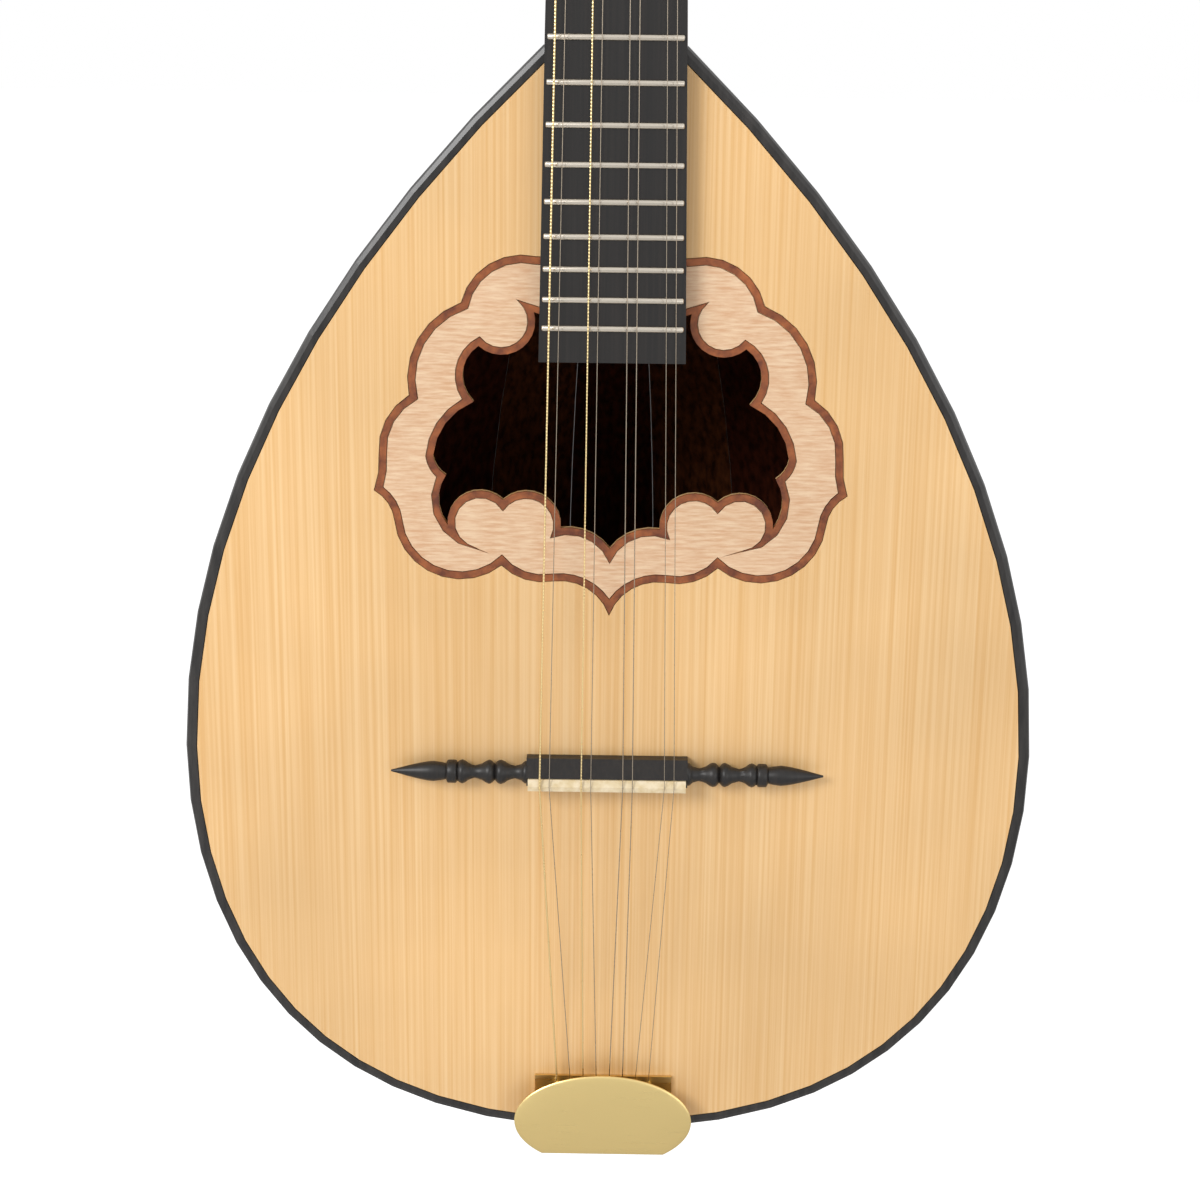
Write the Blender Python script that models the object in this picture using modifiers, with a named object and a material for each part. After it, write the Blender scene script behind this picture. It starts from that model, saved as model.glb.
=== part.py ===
"""Greek bouzouki with four pairs of strings, built as separate pieces.

Axes: +Z runs up the neck to the headstock, -Y leaves the soundboard towards the player's hand and
+X is to the right seen from the front. The origin is the middle of the neck's glue face at the nut.
The soundboard's face and the neck's glue face both lie in the plane y = 0.
"""
import math

import bmesh
import bpy
import numpy as np
from mathutils import Matrix, Vector

MM = 0.001

# Clearances
GAP = 0.3 * MM              # glue line between touching pieces
RUN_GAP = 0.15 * MM         # radial clearance of turning pieces
INNER_GAP = 0.6 * MM        # inner blocks and lining against the facets of the bowl

# Strings and fret rule
SCALE_LENGTH = 670 * MM
FRET_COUNT = 24
STRING_RADII = [0.35 * MM, 0.15 * MM, 0.28 * MM, 0.15 * MM, 0.18 * MM, 0.18 * MM, 0.13 * MM, 0.13 * MM]
WOUND_STRINGS = (0, 2)
NUT_STRING_Y = -8.1 * MM
SADDLE_STRING_Y = -12.2 * MM
COURSE_STEP_AT_NUT = 8.4 * MM
PAIR_GAP_AT_NUT = 2.9 * MM
COURSE_STEP_AT_SADDLE = 15.1 * MM
PAIR_GAP_AT_SADDLE = 3.5 * MM
HOOK_STEP = 5.0 * MM

# Fingerboard, frets and nut
BOARD_WIDTH_AT_NUT = 34.8 * MM
BOARD_WIDTH_AT_LAST_FRET = 50.7 * MM
BOARD_TOP_Y = -6.5 * MM
BOARD_PAST_LAST_FRET = 12.0 * MM
FRET_WIDTH = 2.2 * MM
FRET_HEIGHT = 1.1 * MM
FRET_INSET = 1.0 * MM
FRET_BEVEL = 0.9 * MM
FRET_SINK = 0.4 * MM
NUT_THICKNESS = 5.0 * MM
NUT_RISE = 0.5 * MM         # nut top above the string centres

# Body outline, outer edge of the binding, right half
JOINT_Z = -407.2 * MM
JOINT_HALF_WIDTH = 24.1 * MM
JOINT_SLOPE = math.radians(46.6)
SHOULDER_HANDLE = 104.8 * MM
UPPER_WAIST_HANDLE = 96.1 * MM
WIDEST_HALF = 154.7 * MM
WIDEST_Z = -665.2 * MM
LOWER_WAIST_HANDLE = 54.8 * MM
TAIL_HANDLE = 130.6 * MM
TAIL_Z = -815.4 * MM
OUTLINE_STATIONS = 23
CURVE_STEPS = 300
LEAD_IN = 20 * MM

# Bowl profile, seen from the side
HEEL_DEPTH = 27 * MM
HEEL_SLOPE = math.radians(40)
HEEL_HANDLE = 95 * MM
DEEPEST = 166 * MM
DEEPEST_Z = -688 * MM
UPPER_BACK_HANDLE = 110 * MM
LOWER_BACK_HANDLE = 52 * MM
TAIL_BACK_HANDLE = 132 * MM
STAVE_COUNT = 13
STAVE_THICKNESS = 3.0 * MM
CLASP_Z = -797 * MM         # the staves end here, under the clasp

# Soundboard and binding
SOUNDBOARD_THICKNESS = 2.5 * MM
BINDING_WIDTH = 4.0 * MM
BINDING_DEPTH = 5.0 * MM
BINDING_ROUNDING = 2.0 * MM
LINING_WIDTH = 6.5 * MM
LINING_DEPTH = 7.0 * MM
NECK_BLOCK_STATIONS = 3     # outline stations covered by the neck block
TAIL_BLOCK_HALF_WIDTH = 42 * MM
TAIL_BLOCK_DEPTH = 70 * MM
CLASP_ROWS = 6
RIM_LIMIT = 0.98            # share of the depth at which the rim closes at the tail
BRACE_WIDTH = 8 * MM
BRACE_DEPTH = 12 * MM
BRACE_SCALLOP = 30 * MM
BRACES = {"brace_upper": -470 * MM, "brace_middle": -618 * MM, "brace_lower": -722 * MM}

# Rosette: corner x, corner z and the bow of the arc to the next corner, outward bows positive
ROSETTE_DEPTH = 1.0 * MM
ROSETTE_BORDER = 2.4 * MM
ROSETTE_OUTLINE = [
    (0, -484.0, 2.0), (26.5, -479.0, 6.3), (52.5, -495.3, 6.9), (70.9, -528.2, 3.3), (81.8, -549.5, -0.7),
    (83.7, -562.6, -1.6), (76.6, -573.6, 12.6), (38.7, -589.6, 2.5), (20.0, -595.3, -4.2), (0, -607.6, 0)]
SOUNDHOLE_OUTLINE = [
    (0, -507.0, 0.3), (27.4, -498.2, -8.6), (46.7, -510.3, 4.7), (48.5, -530.2, 3.4), (62.9, -550.0, 0.9),
    (58.4, -556.9, 2.9), (57.9, -575.2, -7.6), (38.1, -565.7, -7.8), (17.6, -575.8, -2.7), (0, -583.2, 0)]
ARC_STEP = math.radians(14)

# Bridge and saddle
BRIDGE_FRONT_Z = -661.6 * MM
SADDLE_FRONT_Z = -667.5 * MM
BRIDGE_BACK_Z = -672.0 * MM
BRIDGE_HALF_BLOCK = 29.4 * MM
BRIDGE_TOP_Y = -10.3 * MM
BRIDGE_FRONT_EDGE_Y = -4.6 * MM
SADDLE_SEAT_Y = -5.5 * MM
SADDLE_CREST_DROP = 0.7 * MM
BRIDGE_AXIS_Z = -667.0 * MM
BRIDGE_TIP_RADIUS = 0.3 * MM
BRIDGE_HALF_LENGTH = 78.8 * MM
# Distance from the middle and radius of the turned ends, from the block to the tip
BRIDGE_TURNING = [
    (29.0, 4.0), (29.9, 4.1), (31.3, 2.9), (33.5, 2.3), (36.2, 3.1), (38.6, 4.4), (40.1, 3.9), (40.9, 2.9),
    (41.8, 3.9), (43.1, 4.4), (45.6, 3.0), (48.1, 2.25), (50.6, 3.1), (52.8, 4.35), (54.6, 3.3), (55.4, 4.2),
    (58.0, 4.2), (58.8, 2.9), (60.6, 3.3), (63.4, 3.65), (67.5, 3.1), (73.5, 1.7)]
BRIDGE_TURNING_STEPS = 10

# Tailpiece
PLATE = 1.2 * MM
FOOT_HALF_WIDTH = 26 * MM
FOOT_TOP_Z = -791.5 * MM
FLANGE_HALF_WIDTH = 15 * MM
FLANGE_END_Y = 30 * MM
FLANGE_STEP = 0.1 * MM      # the flange stands this far behind the foot's end
HOOK_Z = -795 * MM
HOOK_RADIUS = 0.8 * MM
HOOK_SIDES = 8
HOOK_HEAD_RADIUS = 1.35 * MM
HOOK_HEIGHT = 4.6 * MM
HOOK_HEAD = 0.7 * MM
HOOK_STRING_Y = -4.1 * MM
HINGE_Y = -3.0 * MM
HINGE_Z = -818.2 * MM
KNUCKLE_RADIUS = 1.7 * MM
KNUCKLE_SIDES = 12
COVER_KNUCKLE_HALF = 11.7 * MM
BASE_KNUCKLE_END = 20 * MM
PIN_RADIUS = 0.8 * MM
COVER_CENTRE_Z = -806.8 * MM
COVER_HALF_WIDTH = 33.6 * MM
COVER_HALF_HEIGHT = 19.0 * MM
COVER_CUT_Z = -820.6 * MM
COVER_RIM_Y = -7.4 * MM
COVER_DOME = 1.6 * MM
COVER_THICKNESS = 1.0 * MM
COVER_WEB = 1.2 * MM
COVER_SIDES = 32
COVER_RINGS = (0.45, 0.8, 1.0)

# Neck and headstock
NECK_DEPTH_AT_NUT = 14.0 * MM
NECK_DEPTH_AT_HEEL = 17.0 * MM
HEEL_START_Z = -335 * MM
HEAD_TILT = math.radians(11)
HEAD_THICKNESS = 14 * MM
HEAD_VENEER = 2.0 * MM
# Headstock outline in its own plane: corner x, corner z and bow to the next corner
HEAD_OUTLINE = [(0, 178, 1.5), (15, 172, -2.0), (29, 168, 4.0), (35, 152, 0), (34, 36, -3.5),
                (17.4, 9, 0), (17.3, 0.5, 0)]

# Tuning machines, in the headstock's plane
TUNER_FIRST_Z = 42 * MM
TUNER_STEP = 32 * MM
TUNER_X = 21 * MM
POST_RADIUS = 3.0 * MM
POST_SIDES = 8
POST_TOP = 13.0 * MM        # above the headstock wood's front face
TUNER_PLATE = 1.2 * MM
TUNER_PLATE_HALF_WIDTH = 7.5 * MM
TUNER_PLATE_END = 12 * MM
GEAR_TEETH = 14
GEAR_PITCH_RADIUS = 4.2 * MM
TOOTH_HALF_DEPTH = 0.4 * MM
GEAR_THICKNESS = 2.2 * MM
TIP_CLEARANCE = 0.2 * MM
WORM_PITCH_RADIUS = 1.8 * MM
WORM_PITCHES = 5
WORM_SIDES = 8
THREAD_PITCHES = 1          # pitches of thread on each side of the middle
WORM_RELIEF = 0.5 * MM
SHAFT_RADIUS = 1.55 * MM
SHAFT_INNER_END = 8.4 * MM
EAR_THICKNESS = 1.6 * MM
EAR_HALF_WIDTH = 2.9 * MM
BUTTON_X = 35 * MM
BUTTON_RADII = (9 * MM, 4.5 * MM, 7 * MM)
BUTTON_ANGLES = (20, 50, 90, 130, 165)
COIL_POINTS = 12
COIL_POINTS_PER_TURN = 8
COIL_TOP_Y = -9.6 * MM      # height of the first turn in the headstock's frame
COIL_SPACE = 0.5 * MM       # between turns


# Scene, collections and materials
for item in list(bpy.data.objects):
    bpy.data.objects.remove(item, do_unlink=True)
PARTS = bpy.data.collections.new("greek_bouzouki")
CUTTERS = bpy.data.collections.new("cutters")
bpy.context.scene.collection.children.link(PARTS)
bpy.context.scene.collection.children.link(CUTTERS)


def material(name, colour, roughness, metallic=0.0):
    made = bpy.data.materials.new(name)
    made.use_nodes = True
    shader = made.node_tree.nodes["Principled BSDF"]
    shader.inputs["Base Color"].default_value = (*colour, 1.0)
    shader.inputs["Roughness"].default_value = roughness
    shader.inputs["Metallic"].default_value = metallic
    made.diffuse_color = (*colour, 1.0)
    return made


SPRUCE = material("spruce_lacquered", (0.86, 0.58, 0.29), 0.35)
LACEWOOD = material("figured_inlay_wood", (0.84, 0.60, 0.42), 0.4)
BORDER_WOOD = material("red_brown_border_wood", (0.24, 0.08, 0.03), 0.4)
BINDING_WOOD = material("dark_binding", (0.05, 0.045, 0.045), 0.35)
STAVE_WOOD = material("dark_stave_wood", (0.10, 0.04, 0.02), 0.4)
STAVE_WOOD_PALE = material("paler_stave_wood", (0.16, 0.07, 0.03), 0.4)
BLOCK_WOOD = material("lime_block_wood", (0.60, 0.42, 0.24), 0.7)
NECK_WOOD = material("neck_mahogany", (0.20, 0.08, 0.04), 0.35)
EBONY = material("ebony", (0.025, 0.02, 0.018), 0.45)
BONE = material("bone", (0.84, 0.72, 0.52), 0.4)
BRASS = material("satin_brass", (0.78, 0.60, 0.28), 0.3, 1.0)
NICKEL = material("nickel_steel", (0.60, 0.58, 0.54), 0.25, 1.0)
BRONZE = material("bronze_winding", (0.80, 0.58, 0.30), 0.3, 1.0)


# Shaping helpers
def link(obj, collection, parent=None):
    collection.objects.link(obj)
    if parent:
        obj.parent = parent
    if collection is CUTTERS:
        obj.hide_render = True
        obj.display_type = "WIRE"
    return obj


def from_bmesh(name, bm, stuff=None, collection=PARTS, parent=None, smooth=None):
    bmesh.ops.recalc_face_normals(bm, faces=bm.faces)
    mesh = bpy.data.meshes.new(name)
    bm.to_mesh(mesh)
    bm.free()
    if smooth is not None:
        mesh.shade_smooth()
        mesh.set_sharp_from_angle(angle=math.radians(smooth))
    if stuff:
        mesh.materials.append(stuff)
    return link(bpy.data.objects.new(name, mesh), collection, parent)


def add_loft(bm, rings, cap_ends=True):
    """Skin through closed rings of equal length, between unlike sections."""
    rows = [[bm.verts.new(point) for point in ring] for ring in rings]
    count = len(rows[0])
    for first, second in zip(rows, rows[1:]):
        for i in range(count):
            j = (i + 1) % count
            bm.faces.new((first[i], first[j], second[j], second[i]))
    if cap_ends:
        bm.faces.new(rows[0])
        bm.faces.new(rows[-1])


def loft(name, rings, stuff=None, collection=PARTS, parent=None, smooth=None):
    bm = bmesh.new()
    add_loft(bm, rings)
    return from_bmesh(name, bm, stuff, collection, parent, smooth)


def wall(name, outer, inner, stuff, smooth=None):
    """Curved wall between an outer and an inner grid of points, its edges closed."""
    bm = bmesh.new()
    for grid in (outer, inner):
        rows = [[bm.verts.new(point) for point in row] for row in grid]
        for first, second in zip(rows, rows[1:]):
            for i in range(len(first) - 1):
                bm.faces.new((first[i], first[i + 1], second[i + 1], second[i]))
    rims = [edge for edge in bm.edges if edge.is_boundary]
    bmesh.ops.bridge_loops(bm, edges=rims)
    return from_bmesh(name, bm, stuff, smooth=smooth)


def block(name, low, high, stuff=None, collection=PARTS, parent=None):
    """Box between two opposite corners."""
    low, high = Vector(low), Vector(high)
    bm = bmesh.new()
    bmesh.ops.create_cube(bm, size=1.0)
    bmesh.ops.scale(bm, vec=high - low, verts=bm.verts)
    bmesh.ops.translate(bm, vec=(low + high) / 2, verts=bm.verts)
    return from_bmesh(name, bm, stuff, collection, parent)


def add_rod(bm, start, end, radius, sides, end_radius=None):
    """Cylinder or cone between two points, its first corner on +X or +Z."""
    start, end = Vector(start), Vector(end)
    along = end - start
    turn = Vector((0, 0, 1)).rotation_difference(along).to_matrix().to_4x4()
    place = Matrix.Translation((start + end) / 2) @ turn
    bmesh.ops.create_cone(bm, cap_ends=True, segments=sides, radius1=radius, matrix=place,
                          radius2=radius if end_radius is None else end_radius, depth=along.length)


def rod(name, start, end, radius, sides, stuff=None, collection=PARTS, parent=None):
    bm = bmesh.new()
    add_rod(bm, start, end, radius, sides)
    return from_bmesh(name, bm, stuff, collection, parent, smooth=40)


def plate(name, outlines, front_y, back_y, stuff=None, collection=PARTS, parent=None):
    """Flat piece cut from a board: outlines in x and z, the first outside and the rest its holes."""
    curve = bpy.data.curves.new(name, "CURVE")
    curve.dimensions = "2D"
    curve.fill_mode = "BOTH"
    curve.extrude = abs(back_y - front_y) / 2
    for outline in outlines:
        spline = curve.splines.new("POLY")
        spline.points.add(len(outline) - 1)
        for point, (x, z) in zip(spline.points, outline):
            point.co = (x, z, 0, 1)
        spline.use_cyclic_u = True
    drawn = bpy.data.objects.new(name, curve)
    drawn.location = (0, (front_y + back_y) / 2, 0)
    drawn.rotation_euler = (math.pi / 2, 0, 0)
    bpy.context.scene.collection.objects.link(drawn)
    bpy.context.view_layer.update()
    mesh = bpy.data.meshes.new_from_object(drawn.evaluated_get(bpy.context.evaluated_depsgraph_get()))
    mesh.transform(drawn.matrix_world)
    bpy.data.objects.remove(drawn, do_unlink=True)
    bm = bmesh.new()
    bm.from_mesh(mesh)
    bmesh.ops.remove_doubles(bm, verts=bm.verts, dist=0.001 * MM)
    return from_bmesh(name, bm, stuff, collection, parent)


def turned(name, profile, steps, stuff=None, collection=PARTS, parent=None, smooth=40):
    """Solid of revolution about local Z; the profile runs from top to bottom as radius and height."""
    mesh = bpy.data.meshes.new(name)
    points = [(radius, 0, height) for radius, height in profile]
    mesh.from_pydata(points, [(i, i + 1) for i in range(len(points) - 1)], [])
    if stuff:
        mesh.materials.append(stuff)
    obj = link(bpy.data.objects.new(name, mesh), collection, parent)
    screw = obj.modifiers.new("turning", "SCREW")
    screw.steps = screw.render_steps = steps
    screw.use_merge_vertices = True
    screw.merge_threshold = 0.001 * MM
    screw.use_normal_calculate = False
    screw.use_smooth_shade = smooth is not None
    return obj


def wire(name, points, radius, stuff):
    """Round wire along a polyline."""
    curve = bpy.data.curves.new(name, "CURVE")
    curve.dimensions = "3D"
    curve.bevel_depth = radius
    curve.bevel_resolution = 2
    curve.use_fill_caps = True
    spline = curve.splines.new("POLY")
    spline.points.add(len(points) - 1)
    for point, place in zip(spline.points, points):
        point.co = (*place, 1)
    curve.materials.append(stuff)
    return link(bpy.data.objects.new(name, curve), PARTS)


def boolean(obj, other, operation):
    step = obj.modifiers.new(operation.lower() + "_" + other.name, "BOOLEAN")
    step.operation = operation
    step.solver = "EXACT"
    step.object = other


def place(obj, location=(0, 0, 0), rotation=(0, 0, 0)):
    obj.location = location
    obj.rotation_euler = rotation
    return obj


# Plane outlines
def bezier(a, b, c, d, steps):
    a, b, c, d = (np.array(point) for point in (a, b, c, d))
    s = np.linspace(0, 1, steps + 1)[:, None]
    return (1 - s) ** 3 * a + 3 * (1 - s) ** 2 * s * b + 3 * (1 - s) * s * s * c + s ** 3 * d


def half_curve(start, slope, first_handle, second_handle, widest, third_handle, last_handle, end_z, steps):
    """Width against z from the neck joint, over the widest place, to the tail."""
    lean = np.array((math.sin(slope), -math.cos(slope))) * first_handle
    top = bezier(start, np.array(start) + lean, (widest[0], widest[1] + second_handle), widest, steps[0])
    low = bezier(widest, (widest[0], widest[1] - third_handle), (last_handle, end_z), (0, end_z), steps[1])
    return np.vstack([top, low[1:]])


def outline_curve(steps):
    return half_curve((JOINT_HALF_WIDTH, JOINT_Z), JOINT_SLOPE, SHOULDER_HANDLE, UPPER_WAIST_HANDLE,
                      (WIDEST_HALF, WIDEST_Z), LOWER_WAIST_HANDLE, TAIL_HANDLE, TAIL_Z, steps)


def back_curve(steps):
    return half_curve((HEEL_DEPTH, JOINT_Z), HEEL_SLOPE, HEEL_HANDLE, UPPER_BACK_HANDLE,
                      (DEEPEST, DEEPEST_Z), LOWER_BACK_HANDLE, TAIL_BACK_HANDLE, TAIL_Z, steps)


def inward_normals(points):
    """Unit normals of a half curve, pointing into the body."""
    slope = np.gradient(points, axis=0)
    slope[-1] = (-1, 0)
    slope[0] = slope[1] = points[1] - points[0]
    normal = np.stack([slope[:, 1], -slope[:, 0]], axis=1)
    return normal / np.linalg.norm(normal, axis=1)[:, None]


def led_in(points):
    """The same curve with a straight lead-in before its first point."""
    lead = points[0] - points[1]
    return np.vstack([points[0] + lead / np.linalg.norm(lead) * LEAD_IN, points])


def inset_curve(curve, distance):
    return curve + inward_normals(curve) * distance


def at_height(curve, z):
    return float(np.interp(-z, -curve[:, 1], curve[:, 0]))


def stations(curve, count):
    """Indices of points spaced evenly by length and by turning, the first after the lead-in."""
    steps = np.diff(curve[1:], axis=0)
    lengths = np.linalg.norm(steps, axis=1)
    headings = np.unwrap(np.arctan2(steps[:, 1], steps[:, 0]))
    turns = np.abs(np.diff(headings, prepend=headings[0]))
    run = np.cumsum(lengths / lengths.sum() + turns / turns.sum())
    wanted = np.linspace(0, run[-1], count + 1)
    return 1 + np.searchsorted(np.insert(run, 0, 0), wanted - 1e-9)


PLAN = led_in(outline_curve((CURVE_STEPS, CURVE_STEPS)))
BACK = led_in(back_curve((CURVE_STEPS, CURVE_STEPS)))
PLAN_STATIONS = stations(PLAN, OUTLINE_STATIONS)
STATION_HEIGHTS = [float(PLAN[i][1]) for i in PLAN_STATIONS]
BODY_TOP_Z = JOINT_Z - GAP


def offset_half(offset):
    """The right half outline moved inwards, its first point carried on to the joint plane."""
    curve = inset_curve(PLAN, offset)
    points = curve[PLAN_STATIONS]
    points[0] = (at_height(curve, BODY_TOP_Z), BODY_TOP_Z)
    return points


def mirrored(half):
    """Whole outline from a right half whose last point is on the axis."""
    half = [tuple(point) for point in half]
    return half + [(-x, z) for x, z in reversed(half[:-1])]


def half_width_at(z, offset):
    """Half width of the offset outline's straight-sided polygon."""
    return at_height(offset_half(offset), z)


def arc_circle(start, end, bow):
    """Centre, radius and side of the arc between two corners; side is +1 for an outward bow."""
    start, end = np.array(start), np.array(end)
    chord = end - start
    length = np.linalg.norm(chord)
    normal = np.array((-chord[1], chord[0])) / length
    height = bow if abs(bow) > 0.02 * MM else 0.02 * MM
    radius = (length ** 2 / 4 + height ** 2) / (2 * abs(height))
    side = math.copysign(1, height)
    return (start + end) / 2 + normal * side * (abs(height) - radius), radius, side


def circles_meet(first, second, near):
    """The crossing of two circles nearest a point, or the point between them where they only touch."""
    (c1, r1, _), (c2, r2, _) = first, second
    line = c2 - c1
    apart = np.linalg.norm(line)
    along = (apart ** 2 + r1 ** 2 - r2 ** 2) / (2 * apart)
    middle = c1 + line * along / apart
    rise = r1 ** 2 - along ** 2
    if rise <= 0:
        return middle
    across = np.array((-line[1], line[0])) / apart * math.sqrt(rise)
    return min(middle + across, middle - across, key=lambda point: np.linalg.norm(point - near))


def arc_outline(corners, inward=0.0, closed=True):
    """Outline of arcs in millimetres, mirrored about x = 0 when closed and moved inwards by a distance."""
    corners = [(x * MM, z * MM, bow * MM) for x, z, bow in corners]
    if closed:
        back = [(-corners[i][0], corners[i][1], corners[i - 1][2]) for i in range(len(corners) - 1, 0, -1)]
        corners = corners[:-1] + back
    count = len(corners) if closed else len(corners) - 1
    circles = []
    for i in range(count):
        (x, z, bow), end = corners[i], corners[(i + 1) % len(corners)]
        centre, radius, side = arc_circle((x, z), end[:2], bow)
        circles.append((centre, radius - side * inward, side))
    points = []
    for i, circle in enumerate(circles):
        centre, radius, side = circle
        start = circles_meet(circles[i - 1], circle, np.array(corners[i][:2]))
        following = circles[(i + 1) % count]
        end = circles_meet(circle, following, np.array(corners[(i + 1) % len(corners)][:2]))
        if not closed and i == 0:
            start = np.array(corners[0][:2])
        if not closed and i == count - 1:
            end = np.array(corners[-1][:2])
        angle = math.atan2(*(start - centre)[::-1])
        swing = (math.atan2(*(end - centre)[::-1]) - angle) * -side % math.tau
        chord = math.dist(corners[i][:2], corners[(i + 1) % len(corners)][:2])
        pieces = max(1, round(4 * math.atan(2 * abs(corners[i][2]) / chord) / ARC_STEP))
        for k in range(pieces):
            turn = angle - side * swing * k / pieces
            points.append(tuple(centre + radius * np.array((math.cos(turn), math.sin(turn)))))
    return points if closed else points + [tuple(corners[-1][:2])]


def grown(points, distance):
    """Closed outline with every edge moved outwards by a distance, or inwards where it is negative."""
    points = np.array(points)
    edges = np.roll(points, -1, axis=0) - points
    area = np.sum(points[:, 0] * np.roll(points[:, 1], -1) - points[:, 1] * np.roll(points[:, 0], -1))
    normals = np.stack([edges[:, 1], -edges[:, 0]], axis=1) * math.copysign(1, area)
    normals /= np.linalg.norm(normals, axis=1)[:, None]
    before = np.roll(normals, 1, axis=0)
    mitre = (before + normals) / (1 + np.sum(before * normals, axis=1))[:, None]
    return [tuple(point) for point in points + mitre * distance]


# Bowl surface
RIM_Y = BINDING_DEPTH + GAP


def bowl_section(z, inset):
    """Half width and depth of the bowl's section at one height, moved inwards."""
    return at_height(inset_curve(PLAN, inset), z), at_height(inset_curve(BACK, inset), z)


def rim_angle(depth):
    return math.asin(min(RIM_Y / depth, RIM_LIMIT))


def stave_angles(depth):
    """Angles of the joints between staves around one section."""
    rim = rim_angle(depth)
    return np.linspace(rim, math.pi - rim, STAVE_COUNT + 1)


def bowl_end(inset):
    """Height where the moved bowl surface has run out to its rim at the tail."""
    curve = inset_curve(BACK, inset)[-CURVE_STEPS:]
    return float(np.interp(-RIM_Y / RIM_LIMIT, -curve[:, 0], curve[:, 1]))


def section_ring(z, inset):
    width, depth = bowl_section(z, inset)
    return [(width * math.cos(a), depth * math.sin(a), z) for a in stave_angles(depth)]


def stave_row(z, inset, number):
    """The two corners of one stave at one section, half a glue line in from its joints."""
    width, depth = bowl_section(z, inset)
    angles = stave_angles(depth)
    row = []
    for joint, side in ((number, 1), (number + 1, -1)):
        angle = angles[joint]
        if 0 < joint < STAVE_COUNT:
            reach = math.hypot(width * math.sin(angle), depth * math.cos(angle))
            angle += side * GAP / 2 / reach
        row.append((width * math.cos(angle), depth * math.sin(angle), z))
    return row


def stave_heights():
    inner = [z for z in STATION_HEIGHTS[1:] if z > CLASP_Z + 4 * MM]
    return [BODY_TOP_Z] + inner + [CLASP_Z + GAP]


def make_staves():
    for number in range(STAVE_COUNT):
        outer, inner = ([stave_row(z, inset, number) for z in stave_heights()] for inset in (0, STAVE_THICKNESS))
        stuff = STAVE_WOOD_PALE if number % 2 else STAVE_WOOD
        wall(f"stave_{number + 1:02d}", outer, inner, stuff)


def clasp_rings(inset, rows):
    """Sections from the clasp's upper edge down to the tail, closer together as the surface flattens."""
    drop = bowl_end(inset) - CLASP_Z
    return [section_ring(CLASP_Z + drop * math.sin(math.pi / 2 * k / rows), inset) for k in range(rows + 1)]


def make_tail():
    wall("tail_clasp", clasp_rings(0, CLASP_ROWS), clasp_rings(STAVE_THICKNESS, CLASP_ROWS), STAVE_WOOD, smooth=30)
    cap = loft("tail_block", clasp_rings(STAVE_THICKNESS + INNER_GAP, CLASP_ROWS), BLOCK_WOOD)
    top = SOUNDBOARD_THICKNESS + LINING_DEPTH + 2 * GAP
    room = block("tail_block_size", (-TAIL_BLOCK_HALF_WIDTH, top, 2 * TAIL_Z), (TAIL_BLOCK_HALF_WIDTH, TAIL_BLOCK_DEPTH, 0),
                 collection=CUTTERS)
    boolean(cap, room, "INTERSECT")


def make_bowl():
    make_staves()
    make_tail()
    make_neck_block()
    make_lining()
    make_braces()


def make_neck_block():
    """Block that fills the bowl's narrow end, cut to the staves."""
    rings = []
    top_y = SOUNDBOARD_THICKNESS + GAP
    for z in stave_heights()[:NECK_BLOCK_STATIONS]:
        flat = half_width_at(z, BINDING_WIDTH + GAP)
        top = [(-flat, RIM_Y, z), (-flat, top_y, z), (flat, top_y, z), (flat, RIM_Y, z)]
        rings.append(section_ring(z, STAVE_THICKNESS + INNER_GAP) + top)
    loft("neck_block", rings, BLOCK_WOOD, smooth=30)


def band(name, offsets, stuff, first=0, smooth=None):
    """Strip that follows the outline; its section is a list of inward offset and y."""
    halves = [offset_half(offset) for offset, _ in offsets]
    rings = []
    for i in range(first, OUTLINE_STATIONS + 1):
        rings.append([(half[i][0], y, half[i][1]) for half, (_, y) in zip(halves, offsets)])
    other = [[(-x, y, z) for x, y, z in ring] for ring in reversed(rings[:-1])]
    return loft(name, rings + other, stuff, smooth=smooth)


def make_lining():
    outer = BINDING_WIDTH + INNER_GAP
    top = SOUNDBOARD_THICKNESS + GAP
    section = [(outer, top), (outer, top + LINING_DEPTH), (outer + LINING_WIDTH, top + LINING_DEPTH),
               (outer + LINING_WIDTH, top)]
    band("rim_lining", section, SPRUCE, NECK_BLOCK_STATIONS)


def make_braces():
    """Bars across the underside of the soundboard, thinned towards the lining."""
    top = SOUNDBOARD_THICKNESS + GAP
    offset = BINDING_WIDTH + INNER_GAP + LINING_WIDTH + GAP
    for name, z in BRACES.items():
        half = min(half_width_at(z + BRACE_WIDTH / 2, offset), half_width_at(z - BRACE_WIDTH / 2, offset))
        bottom = top + BRACE_DEPTH
        end = top + BRACE_DEPTH / 3
        shape = [(-half, top), (half, top), (half, end), (half - BRACE_SCALLOP, bottom),
                 (-half + BRACE_SCALLOP, bottom), (-half, end)]
        low, high = z - BRACE_WIDTH / 2, z + BRACE_WIDTH / 2
        loft(name, [[(x, y, edge) for x, y in shape] for edge in (low, high)], SPRUCE)


# Soundboard, rosette and binding
def make_soundboard():
    hole = arc_outline(SOUNDHOLE_OUTLINE)
    edge = mirrored(offset_half(BINDING_WIDTH + GAP))
    board = plate("soundboard", [edge, hole], 0, SOUNDBOARD_THICKNESS, SPRUCE)
    recess_depth = ROSETTE_DEPTH + GAP
    recess = plate("rosette_recess", [grown(arc_outline(ROSETTE_OUTLINE), GAP)], -recess_depth, recess_depth,
                   collection=CUTTERS)
    boolean(board, recess, "DIFFERENCE")


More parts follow.
